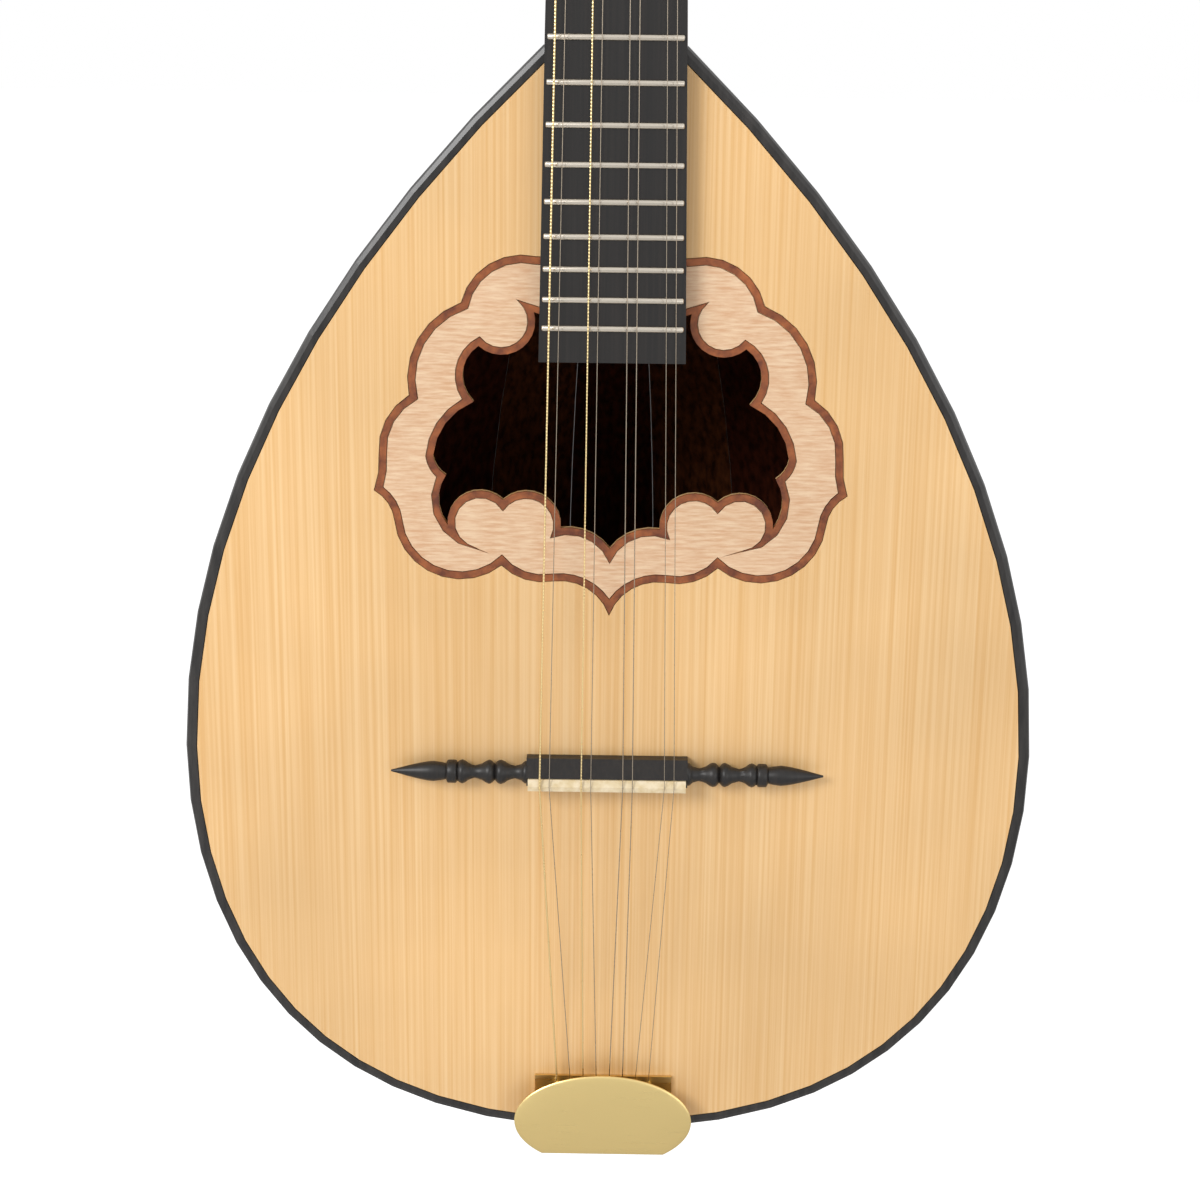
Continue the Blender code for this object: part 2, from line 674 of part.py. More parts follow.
def make_rosette():
    outer_seam = arc_outline(ROSETTE_OUTLINE, ROSETTE_BORDER)
    inner_seam = arc_outline(SOUNDHOLE_OUTLINE, -ROSETTE_BORDER)
    plate("rosette_outer_border", [arc_outline(ROSETTE_OUTLINE), outer_seam], 0, ROSETTE_DEPTH, BORDER_WOOD)
    plate("rosette_inlay", [grown(outer_seam, -GAP), grown(inner_seam, GAP)], 0, ROSETTE_DEPTH, LACEWOOD)
    plate("rosette_inner_border", [inner_seam, arc_outline(SOUNDHOLE_OUTLINE)], 0, ROSETTE_DEPTH, BORDER_WOOD)


def make_binding():
    soft = BINDING_ROUNDING
    section = [(BINDING_WIDTH, 0), (soft, 0), (0.3 * soft, 0.3 * soft), (0, soft), (0, BINDING_DEPTH),
               (BINDING_WIDTH, BINDING_DEPTH)]
    band("edge_binding", section, BINDING_WOOD, smooth=50)


# Fingerboard, frets, nut and neck
def fret_z(number):
    return -SCALE_LENGTH * (1 - 2 ** (-number / 12))


LAST_FRET_Z = fret_z(FRET_COUNT)
BOARD_END_Z = LAST_FRET_Z - BOARD_PAST_LAST_FRET


def board_half_width(z):
    share = z / LAST_FRET_Z
    return (BOARD_WIDTH_AT_NUT + (BOARD_WIDTH_AT_LAST_FRET - BOARD_WIDTH_AT_NUT) * share) / 2


def make_fingerboard():
    """Board with its frets seated in it as one piece."""
    rings = []
    for z in (-GAP, BOARD_END_Z):
        half = board_half_width(z)
        rings.append([(-half, -GAP, z), (half, -GAP, z), (half, BOARD_TOP_Y, z), (-half, BOARD_TOP_Y, z)])
    board = loft("fingerboard", rings, EBONY)
    bm = bmesh.new()
    for number in range(1, FRET_COUNT + 1):
        z = fret_z(number)
        half = board_half_width(z) - FRET_INSET
        base, top = BOARD_TOP_Y + FRET_SINK, BOARD_TOP_Y - FRET_HEIGHT
        side = FRET_WIDTH / 2
        section = [(-side, base, 0), (side, base, 0), (side, BOARD_TOP_Y - 0.3 * MM, 0.2), (side / 2, top, 1),
                   (-side / 2, top, 1), (-side, BOARD_TOP_Y - 0.3 * MM, 0.2)]
        add_loft(bm, [[(sign * (half - lean * FRET_BEVEL), y, z + across) for across, y, lean in section]
                      for sign in (-1, 1)])
    frets = from_bmesh("fret_bars", bm, NICKEL, CUTTERS)
    boolean(board, frets, "UNION")


def string_x(index, course_step, pair_gap):
    course, second = divmod(index, 2)
    return (course - 1.5) * course_step + (second - 0.5) * pair_gap


def make_nut():
    half = board_half_width(0)
    top = NUT_STRING_Y - NUT_RISE
    nut = block("nut", (-half, top, GAP), (half, -GAP, NUT_THICKNESS - GAP), BONE)
    bm = bmesh.new()
    for index, radius in enumerate(STRING_RADII):
        x = string_x(index, COURSE_STEP_AT_NUT, PAIR_GAP_AT_NUT)
        reach = radius + GAP
        low = Vector((x - reach, top - MM, -MM))
        high = Vector((x + reach, NUT_STRING_Y + reach, NUT_THICKNESS + MM))
        made = bmesh.ops.create_cube(bm, size=1.0)
        bmesh.ops.scale(bm, vec=high - low, verts=made["verts"])
        bmesh.ops.translate(bm, vec=(low + high) / 2, verts=made["verts"])
    boolean(nut, from_bmesh("nut_slots", bm, collection=CUTTERS), "DIFFERENCE")


def neck_ring(z, half, depth, fullness):
    """Rounded back with a flat front; a higher fullness makes the section squarer."""
    ring = []
    for angle in np.linspace(0, math.pi, 13):
        c, s = math.cos(angle), math.sin(angle)
        x = half * math.copysign(abs(c) ** (2 / fullness), c)
        ring.append((x, depth * abs(s) ** (2 / fullness), z))
    return ring


def neck_depth(z):
    straight = NECK_DEPTH_AT_NUT + (NECK_DEPTH_AT_HEEL - NECK_DEPTH_AT_NUT) * min(1, z / HEEL_START_Z)
    if z >= HEEL_START_Z:
        return straight
    share = (z - HEEL_START_Z) / (JOINT_Z - HEEL_START_Z)
    return NECK_DEPTH_AT_HEEL + (HEEL_DEPTH - NECK_DEPTH_AT_HEEL) * share ** 1.8


def make_head_frame():
    """Empty at the headstock's foot; its local frame is the headstock's own, front face at y = 0."""
    frame = bpy.data.objects.new("headstock_frame", None)
    frame.location = (0, 0, NUT_THICKNESS)
    frame.rotation_euler = (-HEAD_TILT, 0, 0)
    return link(frame, PARTS)


def head_point(x, y, z):
    """World place of a point given in the headstock's frame."""
    c, s = math.cos(HEAD_TILT), math.sin(HEAD_TILT)
    return x, y * c + z * s, NUT_THICKNESS - y * s + z * c


def tuner_spots():
    """Number, side and height of each machine; 1 to 4 on the left, 5 to 8 on the right, from the nut up."""
    spots = []
    for number in range(1, 9):
        side = -1 if number <= 4 else 1
        spots.append((number, side, TUNER_FIRST_Z + TUNER_STEP * ((number - 1) % 4)))
    return spots


WORM_Y = HEAD_THICKNESS + GAP + TUNER_PLATE + WORM_PITCH_RADIUS + TOOTH_HALF_DEPTH + GAP
POST_BORE = (POST_RADIUS + RUN_GAP) / math.cos(math.pi / POST_SIDES)
SHAFT_BORE = (SHAFT_RADIUS + RUN_GAP) / math.cos(math.pi / 8)
WORM_RISE = GEAR_PITCH_RADIUS + WORM_PITCH_RADIUS


def make_post_bores(head):
    bm = bmesh.new()
    for _, side, z in tuner_spots():
        add_rod(bm, (side * TUNER_X, -10 * MM, z), (side * TUNER_X, HEAD_THICKNESS + 5 * MM, z), POST_BORE, POST_SIDES)
    return from_bmesh("post_bores", bm, collection=CUTTERS, parent=head)


def make_neck(head, bores):
    heights = [NUT_THICKNESS + MM, 0, -12 * MM, -30 * MM, -60 * MM, -200 * MM, HEEL_START_Z, -360 * MM, -380 * MM,
               -395 * MM, JOINT_Z]
    fullness = [5, 4.5, 3.2, 2.4, 2.1, 2, 2, 2, 2, 2, 2]
    rings = []
    for z, full in zip(heights, fullness):
        half = board_half_width(min(z, 0))
        if z < HEEL_START_Z:
            share = (z - HEEL_START_Z) / (JOINT_Z - HEEL_START_Z)
            half += (JOINT_HALF_WIDTH - board_half_width(JOINT_Z)) * share
        rings.append(neck_ring(z, half, neck_depth(min(z, 0)), full))
    neck = loft("neck", rings, NECK_WOOD, smooth=35)
    outline = arc_outline(HEAD_OUTLINE, closed=False)
    blade = outline + [(-x, z) for x, z in reversed(outline[1:])]
    wood = plate("head_blade", [blade], 0, HEAD_THICKNESS, collection=CUTTERS, parent=head)
    boolean(neck, wood, "UNION")
    boolean(neck, bores, "DIFFERENCE")
    above_nut = [(x, max(z, GAP)) for x, z in blade]
    veneer = plate("headstock_veneer", [above_nut], -GAP - HEAD_VENEER, -GAP, EBONY, parent=head)
    boolean(veneer, bores, "DIFFERENCE")


# Tuning machines
def make_tuner_plates(head, bores):
    """Back plates with two ears for each worm shaft."""
    front, back = HEAD_THICKNESS + GAP, HEAD_THICKNESS + GAP + TUNER_PLATE
    heights = [z for _, side, z in tuner_spots() if side > 0]
    for name, side in (("tuner_plate_left", -1), ("tuner_plate_right", 1)):
        low, high = heights[0] - TUNER_PLATE_END, heights[-1] + TUNER_PLATE_END
        middle = side * TUNER_X
        strip = block(name, (middle - TUNER_PLATE_HALF_WIDTH, front, low),
                      (middle + TUNER_PLATE_HALF_WIDTH, back, high), BRASS, parent=head)
        ears = bmesh.new()
        shafts = bmesh.new()
        half_thread = WORM_PITCHES / 2 * math.tau * GEAR_PITCH_RADIUS / GEAR_TEETH + GAP
        for z in heights:
            for hand in (-1, 1):
                inner = middle + hand * half_thread
                outer = inner + hand * EAR_THICKNESS
                low_corner = Vector((min(inner, outer), back - 0.4 * MM, z + WORM_RISE - EAR_HALF_WIDTH))
                high_corner = Vector((max(inner, outer), WORM_Y + EAR_HALF_WIDTH, z + WORM_RISE + EAR_HALF_WIDTH))
                made = bmesh.ops.create_cube(ears, size=1.0)
                bmesh.ops.scale(ears, vec=high_corner - low_corner, verts=made["verts"])
                bmesh.ops.translate(ears, vec=(low_corner + high_corner) / 2, verts=made["verts"])
            reach = half_thread + 3 * EAR_THICKNESS
            add_rod(shafts, (middle - reach, WORM_Y, z + WORM_RISE), (middle + reach, WORM_Y, z + WORM_RISE),
                    SHAFT_BORE, 8)
        boolean(strip, from_bmesh(name + "_ears", ears, collection=CUTTERS, parent=head), "UNION")
        boolean(strip, from_bmesh(name + "_shaft_bores", shafts, collection=CUTTERS, parent=head), "DIFFERENCE")
        boolean(strip, bores, "DIFFERENCE")


def worm_mesh():
    """Thread, shaft and button skinned as one mesh along +X, a crest under its middle."""
    pitch = math.tau * GEAR_PITCH_RADIUS / GEAR_TEETH
    crest, root = WORM_PITCH_RADIUS + TOOTH_HALF_DEPTH, WORM_PITCH_RADIUS - TOOTH_HALF_DEPTH

    def ring(x, radius_y, radius_z):
        angles = [math.tau * k / WORM_SIDES for k in range(WORM_SIDES)]
        return [(x, radius_y * math.sin(a), -radius_z * math.cos(a)) for a in angles]

    rings = [ring(x, SHAFT_RADIUS, SHAFT_RADIUS) for x in (-SHAFT_INNER_END, -THREAD_PITCHES * pitch - WORM_RELIEF)]
    for step in range(-4 * THREAD_PITCHES, 4 * THREAD_PITCHES + 1):
        x = step * pitch / 4
        turn = []
        for k in range(WORM_SIDES):
            phase = (step / 4 - k / WORM_SIDES) % 1
            radius = root + (crest - root) * abs(2 * phase - 1)
            angle = math.tau * k / WORM_SIDES
            turn.append((x, radius * math.sin(angle), -radius * math.cos(angle)))
        rings.append(turn)
    rings.append(ring(THREAD_PITCHES * pitch + WORM_RELIEF, SHAFT_RADIUS, SHAFT_RADIUS))
    length, depth, height = BUTTON_RADII
    for angle in np.radians(BUTTON_ANGLES):
        rings.append(ring(BUTTON_X - length * math.cos(angle), depth * math.sin(angle), height * math.sin(angle)))
    worm = loft("worm", rings, NICKEL, CUTTERS)
    mesh = worm.data
    bpy.data.objects.remove(worm, do_unlink=True)
    return mesh


def post_mesh():
    """Gear, post and its head as one mesh along -Y, its origin on the headstock's front face."""
    bm = bmesh.new()
    root, tip = GEAR_PITCH_RADIUS - TOOTH_HALF_DEPTH - TIP_CLEARANCE, GEAR_PITCH_RADIUS + TOOTH_HALF_DEPTH - TIP_CLEARANCE
    ring = []
    for k in range(2 * GEAR_TEETH):
        angle = math.pi / 2 + math.pi * k / GEAR_TEETH
        radius = tip if k % 2 else root
        ring.append((radius * math.cos(angle), radius * math.sin(angle)))
    faces = (WORM_Y - GEAR_THICKNESS / 2, WORM_Y + GEAR_THICKNESS / 2)
    add_loft(bm, [[(x, y, z) for x, z in ring] for y in faces])
    gear = from_bmesh("gear_wheel", bm, collection=CUTTERS)
    bm = bmesh.new()
    add_rod(bm, (0, -POST_TOP, 0), (0, WORM_Y + GEAR_THICKNESS / 2 + 1.2 * MM, 0), POST_RADIUS, POST_SIDES)
    post = from_bmesh("post_rod", bm, collection=CUTTERS)
    boolean(post, gear, "UNION")
    bpy.context.view_layer.update()
    mesh = bpy.data.meshes.new_from_object(post.evaluated_get(bpy.context.evaluated_depsgraph_get()))
    for helper in (gear, post):
        bpy.data.objects.remove(helper, do_unlink=True)
    mesh.materials.append(BRASS)
    return mesh


def make_tuners(head, bores):
    make_tuner_plates(head, bores)
    worm, post = worm_mesh(), post_mesh()
    for number, side, z in tuner_spots():
        shaft = link(bpy.data.objects.new(f"tuner_{number}_worm_shaft", worm), PARTS, head)
        place(shaft, (side * TUNER_X, WORM_Y, z + WORM_RISE), (0, 0, 0 if side > 0 else math.pi))
        peg = link(bpy.data.objects.new(f"tuner_{number}_post", post), PARTS, head)
        place(peg, (side * TUNER_X, 0, z))


# Bridge
def saddle_top_y():
    return SADDLE_STRING_Y + max(STRING_RADII) + GAP


def make_bridge():
    shape = [(BRIDGE_FRONT_Z, -GAP), (BRIDGE_FRONT_Z, BRIDGE_FRONT_EDGE_Y), (SADDLE_FRONT_Z + GAP, BRIDGE_TOP_Y),
             (SADDLE_FRONT_Z + GAP, SADDLE_SEAT_Y), (BRIDGE_BACK_Z, SADDLE_SEAT_Y), (BRIDGE_BACK_Z, -GAP)]
    half = BRIDGE_HALF_BLOCK
    bridge = loft("bridge", [[(x, y, z) for z, y in shape] for x in (-half, half)], EBONY)
    reach = max(radius for _, radius in BRIDGE_TURNING) * MM
    tip = [(0, BRIDGE_HALF_LENGTH), (BRIDGE_TIP_RADIUS, BRIDGE_HALF_LENGTH)]
    profile = tip + [(radius * MM, along * MM) for along, radius in reversed(BRIDGE_TURNING)]
    profile.append((0, BRIDGE_TURNING[0][0] * MM))
    for name, side in (("bridge_turning_left", -1), ("bridge_turning_right", 1)):
        end = turned(name, profile, BRIDGE_TURNING_STEPS, EBONY, CUTTERS)
        place(end, (0, -GAP - reach, BRIDGE_AXIS_Z), (0, side * math.pi / 2, 0))
        boolean(bridge, end, "UNION")
    crest = saddle_top_y()
    middle = -SCALE_LENGTH
    half = BRIDGE_TURNING[0][0] * MM - GAP
    shape = [(SADDLE_FRONT_Z, SADDLE_SEAT_Y - GAP), (SADDLE_FRONT_Z, crest + SADDLE_CREST_DROP), (middle, crest),
             (BRIDGE_BACK_Z, crest + SADDLE_CREST_DROP), (BRIDGE_BACK_Z, SADDLE_SEAT_Y - GAP)]
    loft("bridge_saddle", [[(x, y, z) for z, y in shape] for x in (-half, half)], BONE)


# Tailpiece
def knuckle(name, start_x, end_x, collection, stuff=None):
    return rod(name, (start_x, HINGE_Y, HINGE_Z), (end_x, HINGE_Y, HINGE_Z), KNUCKLE_RADIUS, KNUCKLE_SIDES,
               stuff, collection)


def make_tailpiece():
    foot_y = -GAP - PLATE
    back_z = TAIL_Z - GAP
    base = block("tailpiece_base", (-FOOT_HALF_WIDTH, foot_y, back_z - PLATE + FLANGE_STEP),
                 (FOOT_HALF_WIDTH, -GAP, FOOT_TOP_Z), BRASS)
    flange = block("tail_flange", (-FLANGE_HALF_WIDTH, foot_y + PLATE / 2, back_z - PLATE),
                   (FLANGE_HALF_WIDTH, FLANGE_END_Y, back_z), collection=CUTTERS)
    boolean(base, flange, "UNION")
    for name, side in (("left", -1), ("right", 1)):
        inner, outer = side * (COVER_KNUCKLE_HALF + GAP), side * BASE_KNUCKLE_END
        lug = block(name + "_lug", (min(inner, outer), HINGE_Y, HINGE_Z),
                    (max(inner, outer), foot_y + PLATE / 3, back_z - PLATE / 3), collection=CUTTERS)
        boolean(base, lug, "UNION")
        boolean(base, knuckle(name + "_knuckle", inner, outer, CUTTERS), "UNION")
    bore = rod("hinge_bore", (-BASE_KNUCKLE_END - MM, HINGE_Y, HINGE_Z), (BASE_KNUCKLE_END + MM, HINGE_Y, HINGE_Z),
               (PIN_RADIUS + RUN_GAP) / math.cos(math.pi / 10), 10, collection=CUTTERS)
    boolean(base, bore, "DIFFERENCE")
    pins, heads = bmesh.new(), bmesh.new()
    top = foot_y - HOOK_HEIGHT
    for index in range(len(STRING_RADII)):
        x = hook_x(index)
        add_rod(pins, (x, foot_y + PLATE / 3, HOOK_Z), (x, top, HOOK_Z), HOOK_RADIUS, HOOK_SIDES)
        add_rod(heads, (x, top + HOOK_HEAD, HOOK_Z), (x, top - HOOK_HEAD / 3, HOOK_Z), HOOK_HEAD_RADIUS, HOOK_SIDES)
    boolean(base, from_bmesh("hitch_pins", pins, collection=CUTTERS), "UNION")
    boolean(base, from_bmesh("hitch_pin_heads", heads, collection=CUTTERS), "UNION")
    rod("tailpiece_hinge_pin", (-BASE_KNUCKLE_END, HINGE_Y, HINGE_Z), (BASE_KNUCKLE_END, HINGE_Y, HINGE_Z), PIN_RADIUS,
        10, NICKEL)
    make_cover(bore)


def hook_x(index):
    return (index - (len(STRING_RADII) - 1) / 2) * HOOK_STEP


def make_cover(bore):
    """Oval lid, slightly domed, its lower edge cut straight over the hinge; its origin is on the hinge."""
    middle_z = COVER_CENTRE_Z - HINGE_Z
    front_y = COVER_RIM_Y - COVER_THICKNESS - HINGE_Y
    bm = bmesh.new()
    centre = bm.verts.new((0, front_y - COVER_DOME, middle_z))
    rows = []
    for share in COVER_RINGS:
        row = []
        for k in range(COVER_SIDES):
            angle = math.tau * k / COVER_SIDES
            x = COVER_HALF_WIDTH * math.cos(angle) * share
            z = max(COVER_HALF_HEIGHT * math.sin(angle), COVER_CUT_Z - COVER_CENTRE_Z) * share
            row.append(bm.verts.new((x, front_y - COVER_DOME * (1 - share ** 2), middle_z + z)))
        rows.append(row)
    for k in range(COVER_SIDES):
        j = (k + 1) % COVER_SIDES
        bm.faces.new((centre, rows[0][k], rows[0][j]))
        for inner, outer in zip(rows, rows[1:]):
            bm.faces.new((inner[k], outer[k], outer[j], inner[j]))
    cover = from_bmesh("tailpiece_cover", bm, BRASS, smooth=30)
    place(cover, (0, HINGE_Y, HINGE_Z))
    skin = cover.modifiers.new("thickness", "SOLIDIFY")
    skin.thickness = COVER_THICKNESS
    skin.offset = -1
    web = block("cover_web", (-COVER_KNUCKLE_HALF, COVER_RIM_Y - COVER_THICKNESS / 2, COVER_CUT_Z + 0.1 * MM),
                (COVER_KNUCKLE_HALF, HINGE_Y, COVER_CUT_Z + 0.1 * MM + COVER_WEB), collection=CUTTERS)
    boolean(cover, web, "UNION")
    boolean(cover, knuckle("cover_knuckle", -COVER_KNUCKLE_HALF, COVER_KNUCKLE_HALF, CUTTERS), "UNION")
    boolean(cover, bore, "DIFFERENCE")


# Strings
def string_route(index):
    """From the loop on the hitch pin over the saddle and nut to the turns on the post."""
    radius = STRING_RADII[index]
    pin_x = hook_x(index)
    loop = HOOK_RADIUS + GAP + radius
    loop /= math.cos(math.pi / 8)
    points = []
    for k in range(7):
        angle = math.radians(25) - math.radians(45) * k
        points.append((pin_x + loop * math.cos(angle), HOOK_STRING_Y, HOOK_Z + loop * math.sin(angle)))
    points.append((pin_x - 0.2 * MM, HOOK_STRING_Y, HOOK_Z + 5 * MM))
    saddle_y = SADDLE_STRING_Y + max(STRING_RADII) - radius
    points.append((string_x(index, COURSE_STEP_AT_SADDLE, PAIR_GAP_AT_SADDLE), saddle_y, -SCALE_LENGTH))
    points.append((string_x(index, COURSE_STEP_AT_NUT, PAIR_GAP_AT_NUT), NUT_STRING_Y, NUT_THICKNESS))
    side = -1 if index < 4 else 1
    rank = index if index < 4 else 7 - index
    post_z = TUNER_FIRST_Z + TUNER_STEP * rank
    coil = (POST_RADIUS + GAP + radius) / math.cos(math.pi / COIL_POINTS_PER_TURN)
    rise = (2 * radius + COIL_SPACE) / COIL_POINTS_PER_TURN
    for k in range(COIL_POINTS + 1):
        angle = math.tau * k / COIL_POINTS_PER_TURN
        x = side * (TUNER_X - coil * math.cos(angle))
        points.append(head_point(x, COIL_TOP_Y + rise * k, post_z + coil * math.sin(angle)))
    return points


def make_strings():
    for index, radius in enumerate(STRING_RADII):
        stuff = BRONZE if index in WOUND_STRINGS else NICKEL
        wire(f"string_{index + 1}", string_route(index), radius, stuff)


head_frame = make_head_frame()
post_bores = make_post_bores(head_frame)
make_soundboard()
make_rosette()
make_binding()
make_bowl()
make_neck(head_frame, post_bores)
make_fingerboard()
make_nut()
make_bridge()
make_tailpiece()
make_tuners(head_frame, post_bores)
make_strings()
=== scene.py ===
# %% [markdown]
# # A Greek bouzouki, dressed for its portrait
#
# The instrument arrives as solids that are already the right size and in the right place. This lesson
# lights it, gives each wood and metal its own finish, and adds the small fittings that a solid model
# leaves plain: bead frets, turned bridge ends, the tailpiece lid, buttons, bushings and screws.

# %% Load the solids
import math

import bmesh
import bpy
from mathutils import Matrix, Vector


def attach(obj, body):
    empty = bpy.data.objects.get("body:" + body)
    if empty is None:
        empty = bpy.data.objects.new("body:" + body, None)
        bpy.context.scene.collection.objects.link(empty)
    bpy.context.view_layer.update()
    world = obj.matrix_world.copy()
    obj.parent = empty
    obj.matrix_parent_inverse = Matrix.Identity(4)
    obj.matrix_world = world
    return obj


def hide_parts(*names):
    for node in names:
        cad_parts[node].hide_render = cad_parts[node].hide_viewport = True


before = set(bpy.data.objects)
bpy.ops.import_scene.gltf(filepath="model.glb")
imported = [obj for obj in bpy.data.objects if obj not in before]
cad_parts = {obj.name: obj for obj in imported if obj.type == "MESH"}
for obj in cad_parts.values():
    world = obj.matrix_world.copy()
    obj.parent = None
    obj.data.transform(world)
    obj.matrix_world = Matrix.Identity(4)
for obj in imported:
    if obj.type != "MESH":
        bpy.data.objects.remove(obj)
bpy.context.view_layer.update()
MM = 0.001

# %% [markdown]
# ## Camera
#
# The picture looks slightly down on the standing instrument from in front of the soundhole. The
# camera's place came from the fret spacing and the width of the body, so it is set as plain numbers.

# %% Camera
EYE = Vector((3.4, -848.5, -342.8)) * MM
AIM = Vector((-3.3, 0.0, -602.3)) * MM
ROLL = math.radians(0.65)
lens = bpy.data.cameras.new("portrait_camera")
lens.sensor_width = 36.0
lens.lens = 74.1
lens.clip_start = 0.02
camera = bpy.data.objects.new("portrait_camera", lens)
bpy.context.scene.collection.objects.link(camera)
ahead = (AIM - EYE).normalized()
right = ahead.cross(Vector((0, 0, 1))).normalized()
up = right.cross(ahead)
across = right * math.cos(ROLL) + up * math.sin(ROLL)
upwards = up * math.cos(ROLL) - right * math.sin(ROLL)
camera.matrix_world = Matrix.Translation(EYE) @ Matrix((across, upwards, -ahead)).transposed().to_4x4()
bpy.context.scene.camera = camera
print("camera looks down by", round(math.degrees(math.asin(-ahead.z)), 1), "degrees")


# %% [markdown]
# ## Two small helpers
#
# Colours are picked on screen as sRGB hex values, but a shader works in linear light, so one function
# turns them. Another adds a node, changes its settings and joins its inputs in one line.

# %% Colour and node helpers
def linear(code):
    values = [int(code[i:i + 2], 16) / 255 for i in (1, 3, 5)]
    return tuple(v / 12.92 if v <= 0.04045 else ((v + 0.055) / 1.055) ** 2.4 for v in values) + (1.0,)


def add(tree, kind, settings=None, inputs=None):
    made = tree.nodes.new(kind)
    for key, value in (settings or {}).items():
        setattr(made, key, value)
    for key, value in (inputs or {}).items():
        if isinstance(value, bpy.types.NodeSocket):
            tree.links.new(value, made.inputs[key])
        else:
            made.inputs[key].default_value = value
    return made


def surface(name, roughness, metallic=0.0):
    made = bpy.data.materials.new(name)
    made.use_nodes = True
    shader = made.node_tree.nodes["Principled BSDF"]
    shader.inputs["Roughness"].default_value = roughness
    shader.inputs["Metallic"].default_value = metallic
    return made, made.node_tree, shader


# %% [markdown]
# ## Light and floor
#
# A plain studio: pale light from all round, a large soft lamp at the upper left, whose shadows the
# picture shows beside the fingerboard, and a weaker one on the right. The camera sees the world as
# white, while the light that it gives the object stays at half of that.

# %% World and lamps
bpy.context.scene.view_settings.view_transform = "Standard"
WORLD_LEVEL = 0.5
world = bpy.data.worlds.new("studio")
bpy.context.scene.world = world
world.use_nodes = True
sky = world.node_tree
sky_light = sky.nodes["Background"]
sky_light.inputs["Color"].default_value = (1, 1, 1, 1)
path = add(sky, "ShaderNodeLightPath")
seen = add(sky, "ShaderNodeMath", {"operation": "MAXIMUM"},
           {0: path.outputs["Is Camera Ray"], 1: path.outputs["Is Glossy Ray"]})
seen = add(sky, "ShaderNodeMath", {"operation": "MAXIMUM"},
           {0: seen.outputs[0], 1: path.outputs["Is Transmission Ray"]})
level = add(sky, "ShaderNodeMapRange", inputs={0: seen.outputs[0], 3: WORLD_LEVEL, 4: 1.0})
sky.links.new(level.outputs[0], sky_light.inputs["Strength"])


LAMP_AIM = Vector((0, 0, -0.6))


def lamp(name, place, watts, size):
    data = bpy.data.lights.new(name, "AREA")
    data.energy = watts
    data.size = size
    made = bpy.data.objects.new(name, data)
    made.location = place
    made.rotation_euler = (LAMP_AIM - Vector(place)).to_track_quat("-Z", "Y").to_euler()
    bpy.context.scene.collection.objects.link(made)


lamp("key_upper_left", (-1.1, -1.3, 0.25), 19.0, 0.7)
lamp("fill_right", (1.3, -1.5, -0.5), 5.0, 1.2)

# %% Floor
FLOOR_Z, FLOOR_SIZE = -1.0, 12
FLOOR_GLOW = 0.6
bpy.ops.object.select_all(action="DESELECT")
bpy.ops.mesh.primitive_plane_add(size=FLOOR_SIZE, location=(0, 0, FLOOR_Z))
floor = bpy.context.object
floor.name = "studio_floor"
paper, tree, shader = surface("white_paper_matte", 0.9)
shader.inputs["Base Color"].default_value = linear("#F5F5F5")
shader.inputs["Emission Color"].default_value = (1, 1, 1, 1)
path = add(tree, "ShaderNodeLightPath")
glow = add(tree, "ShaderNodeMath", {"operation": "MULTIPLY"},
           {0: path.outputs["Is Camera Ray"], 1: FLOOR_GLOW})
tree.links.new(glow.outputs[0], shader.inputs["Emission Strength"])
floor.data.materials.append(paper)
print("floor at", FLOOR_Z)


# %% [markdown]
# ## Woods
#
# Every wood here is quarter-sawn or figured board under thin lacquer. Its grain is noise that is
# stretched along the fibres: the scale across the grain is one over the ring width, and along it one
# over the length that a streak keeps its colour. A second, broad noise gives the slow change of tone
# across a board. Lacquered spruce has rings about 1.3 mm apart; lacewood shows short silky ripples.

# %% Wood finish
def wood(name, dark, light, scale, roughness, broad=0.08, low=0.35, high=0.65, relief=0.06):
    made, tree, shader = surface(name, roughness)
    coord = add(tree, "ShaderNodeTexCoord")
    stretched = add(tree, "ShaderNodeMapping", inputs={"Vector": coord.outputs["Object"], "Scale": scale})
    grain = add(tree, "ShaderNodeTexNoise",
                inputs={"Vector": stretched.outputs[0], "Scale": 1.0, "Detail": 4.0, "Roughness": 0.6})
    ramp = add(tree, "ShaderNodeValToRGB", inputs={0: grain.outputs[0]})
    for element, place, colour in zip(ramp.color_ramp.elements, (low, high), (dark, light)):
        element.position = place
        element.color = linear(colour)
    slow = add(tree, "ShaderNodeTexNoise",
               inputs={"Vector": coord.outputs["Object"], "Scale": 11.0, "Detail": 2.0})
    tone = add(tree, "ShaderNodeMapRange",
               inputs={0: slow.outputs[0], 1: 0.3, 2: 0.7, 3: 1 - broad, 4: 1 + broad / 3})
    mixed = add(tree, "ShaderNodeMix", {"data_type": "RGBA", "blend_type": "MULTIPLY"},
                {0: 1.0, 6: ramp.outputs[0], 7: tone.outputs[0]})
    tree.links.new(mixed.outputs[2], shader.inputs["Base Color"])
    bump = add(tree, "ShaderNodeBump",
               inputs={"Strength": relief, "Distance": 0.2 * MM, "Height": grain.outputs[0]})
    tree.links.new(bump.outputs[0], shader.inputs["Normal"])
    return made


